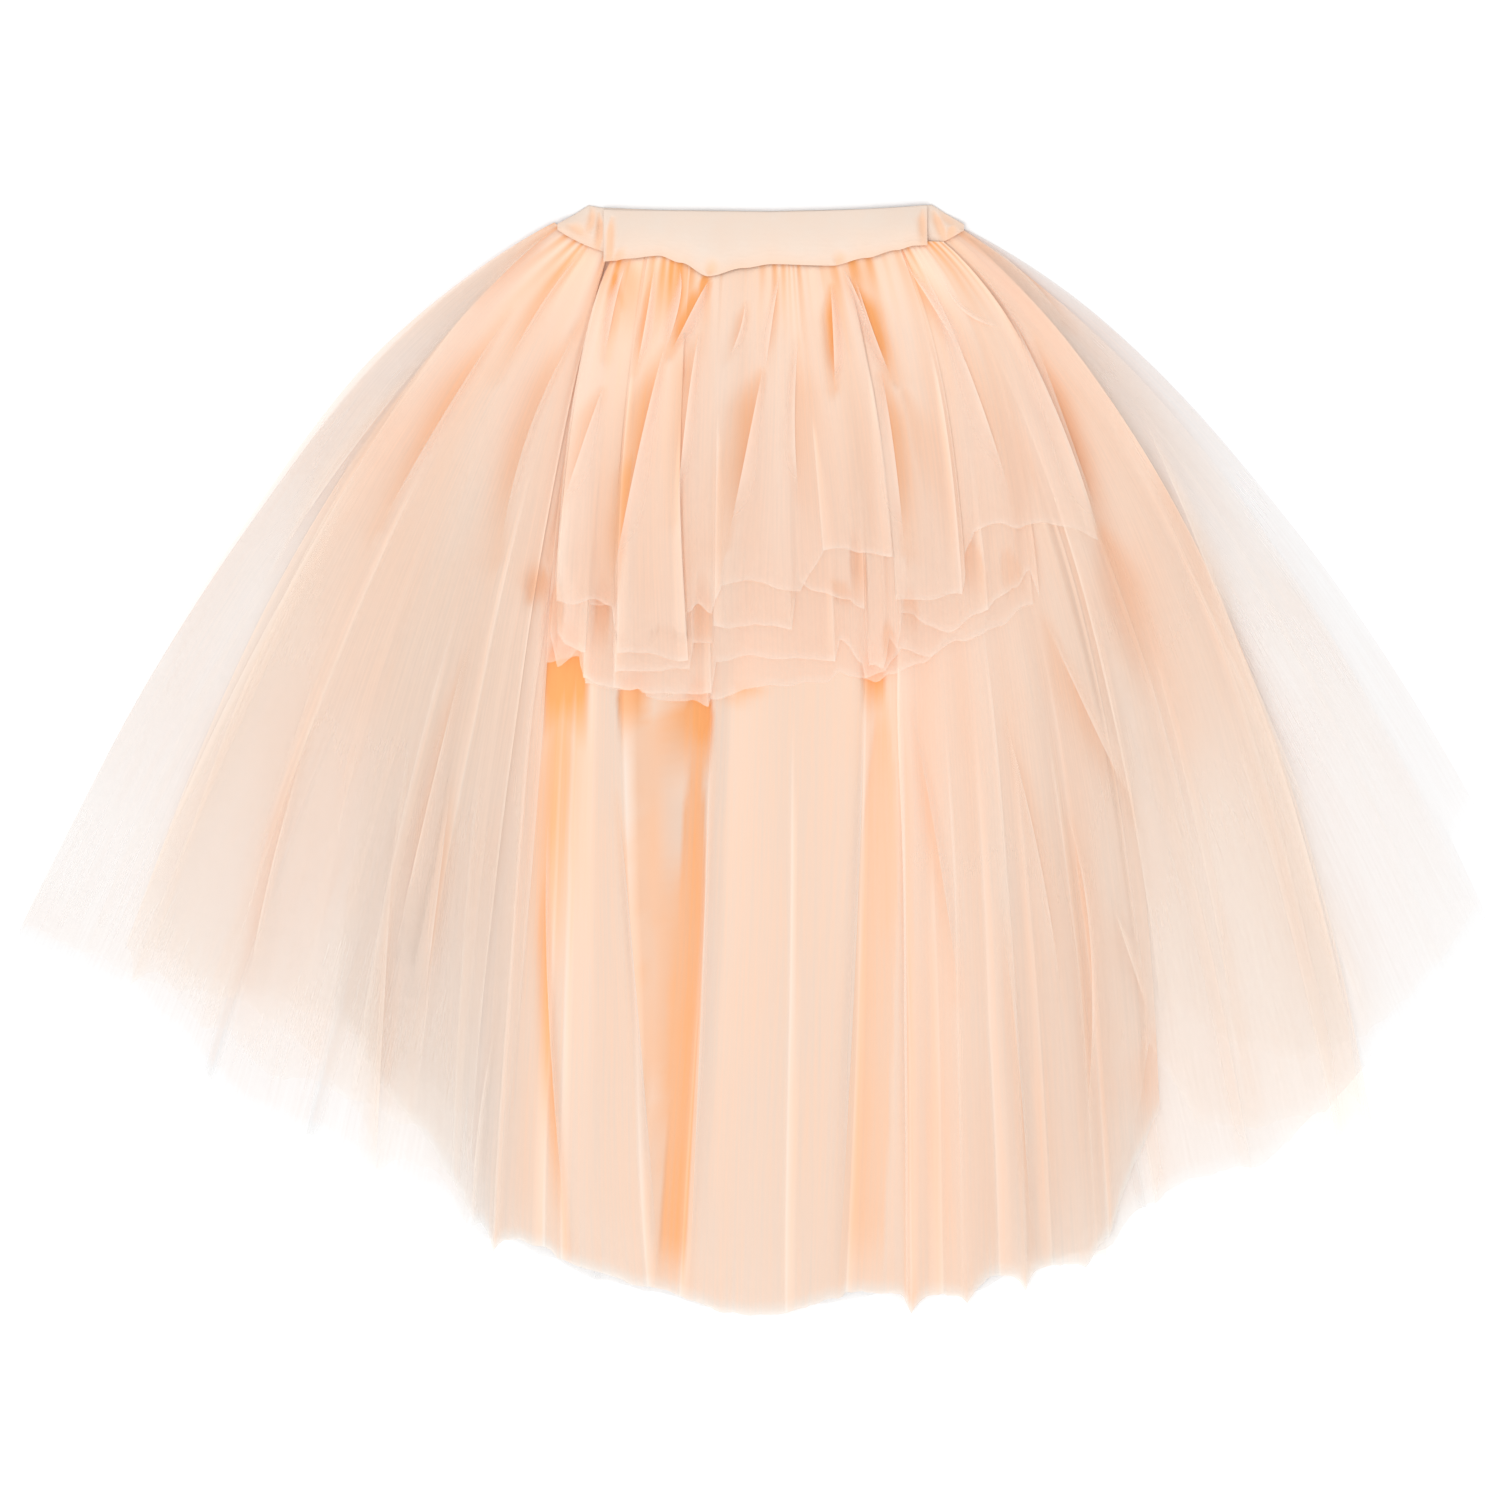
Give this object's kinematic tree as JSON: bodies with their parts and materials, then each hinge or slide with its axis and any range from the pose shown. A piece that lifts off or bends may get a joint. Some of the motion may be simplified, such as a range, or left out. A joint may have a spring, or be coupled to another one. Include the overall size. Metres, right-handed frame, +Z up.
{
  "type": "tulle skirt laid flat",
  "caption": "Child's high-low tulle skirt laid flat: plain jersey waistband, short gathered front layers and long sheer back and side layers with raw-cut hems.",
  "frame": {"origin": "middle of the bounding box's bottom face, on the surface that the skirt lies on", "axes": "+Z up out of the surface; +Y from the hem towards the waistband; +X to the right as seen from above"},
  "size_m": [0.956, 0.722, 0.0451],
  "materials": {
    "jersey": "smooth cotton jersey",
    "front_tulle": "soft net, raw-cut edge",
    "inner_tulle": "soft net, raw-cut edge",
    "outer_tulle": "soft net, raw-cut edge"
  },
  "bodies": {
    "root": {"waistband_front": "jersey", "waistband_back": "jersey", "back_outer_tulle": "outer_tulle", "back_middle_tulle": "inner_tulle", "back_inner_tulle": "inner_tulle", "left_inner_tulle": "inner_tulle", "left_outer_tulle": "outer_tulle", "right_inner_tulle": "inner_tulle", "right_outer_tulle": "outer_tulle", "front_first_tulle": "front_tulle", "front_second_tulle": "front_tulle", "front_third_tulle": "front_tulle", "front_top_tulle": "front_tulle"}
  },
  "joints": []
}
